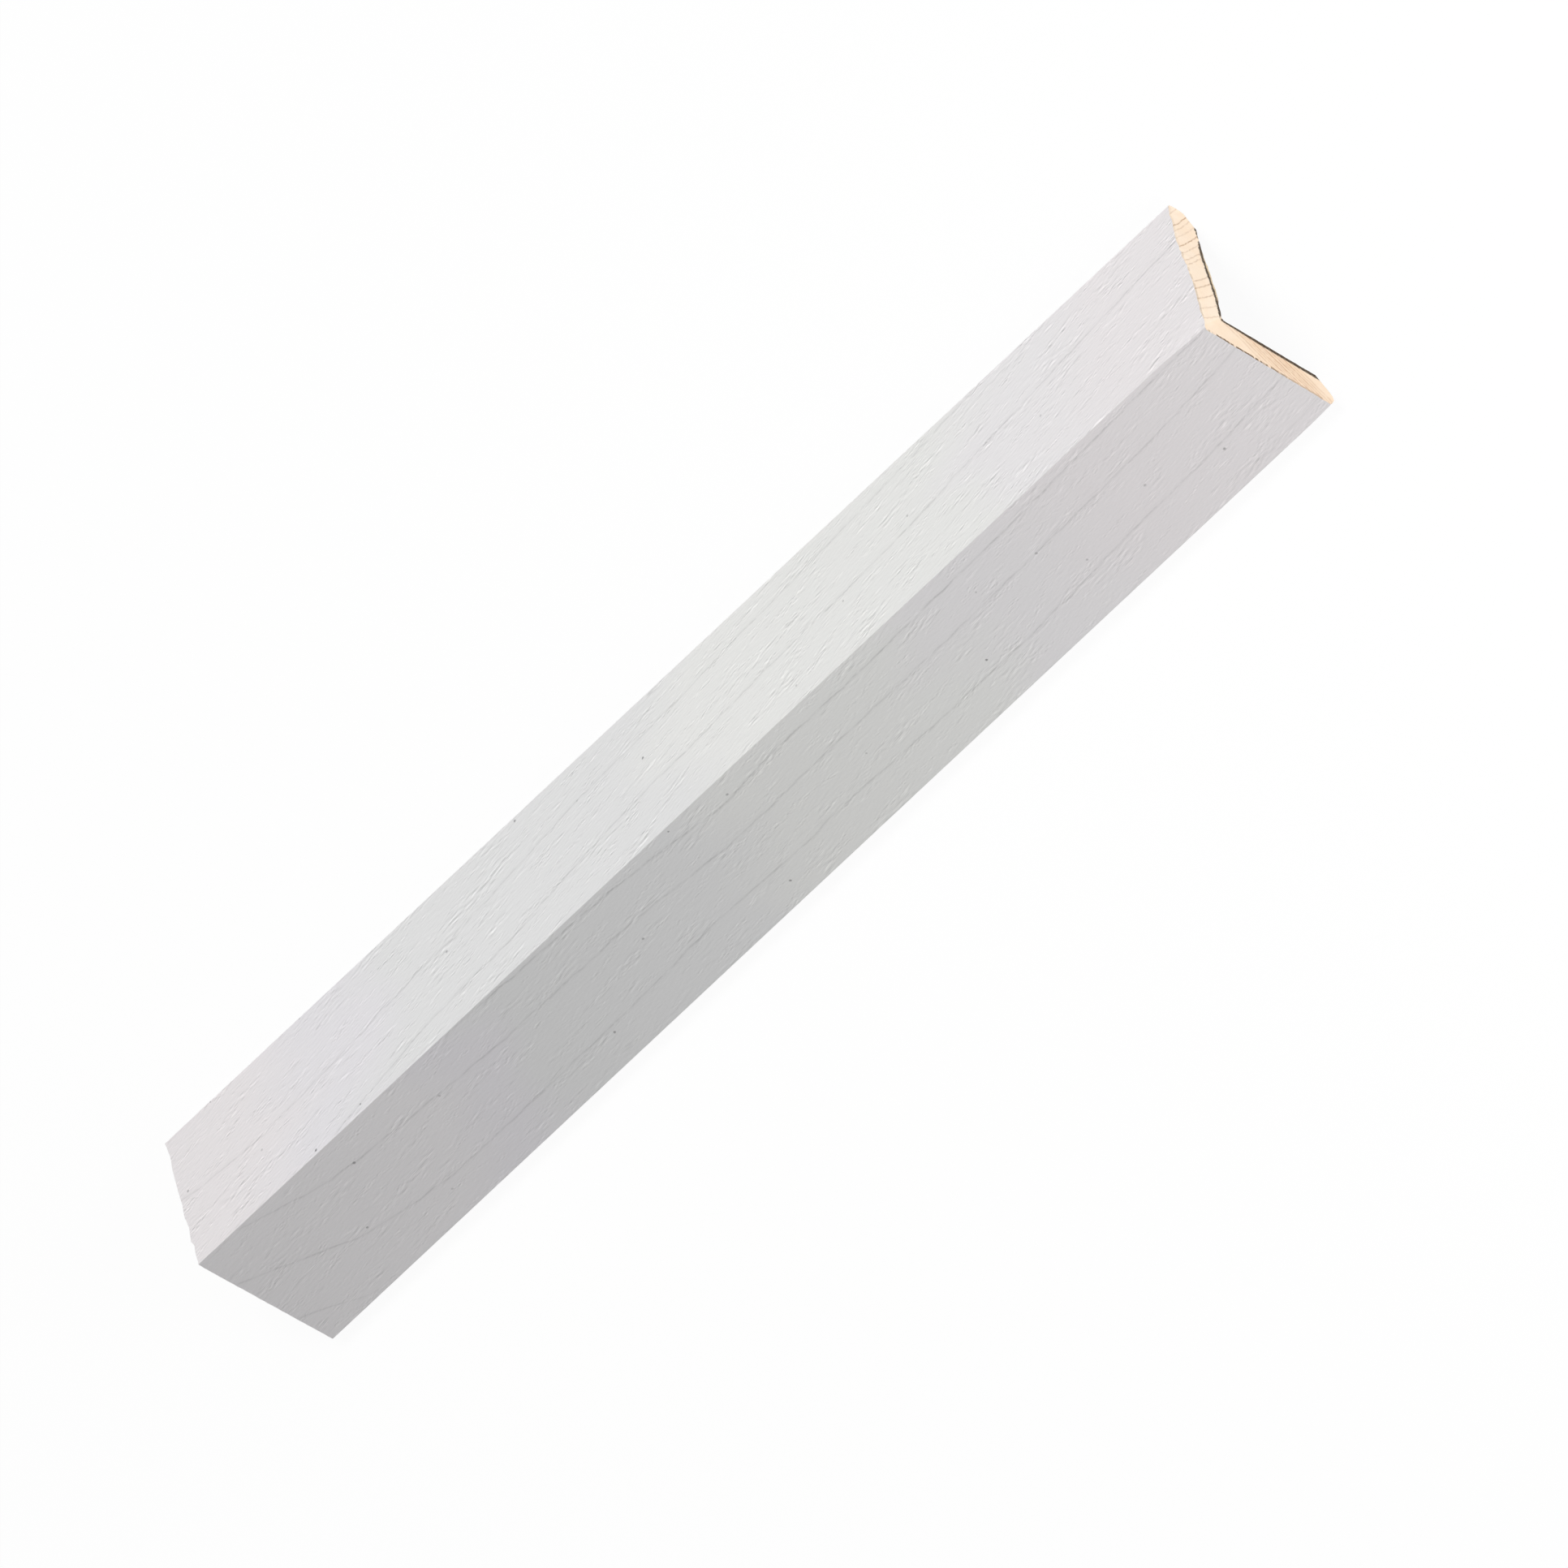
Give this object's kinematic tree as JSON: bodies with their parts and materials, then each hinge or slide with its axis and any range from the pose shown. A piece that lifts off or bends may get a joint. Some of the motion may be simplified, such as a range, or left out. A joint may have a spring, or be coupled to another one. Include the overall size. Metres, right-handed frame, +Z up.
{
  "type": "corner guard moulding",
  "caption": "Straight right-angle wood moulding with white grained outer faces, bare cut ends and bevelled back edges, for covering an outside wall corner.",
  "frame": {"origin": "on the floor under the middle of the piece, as it lies with its outer corner up", "axes": "+X along the length, +Y across it, +Z up through the outer corner"},
  "size_m": [0.233, 0.0402, 0.0225],
  "materials": {
    "painted_pine": "white paint over the grain on the outer faces and edges, bare pine on the cut ends and bevels, thin dark brown coat on the back"
  },
  "bodies": {
    "root": {"corner_guard": "painted_pine"}
  },
  "joints": []
}
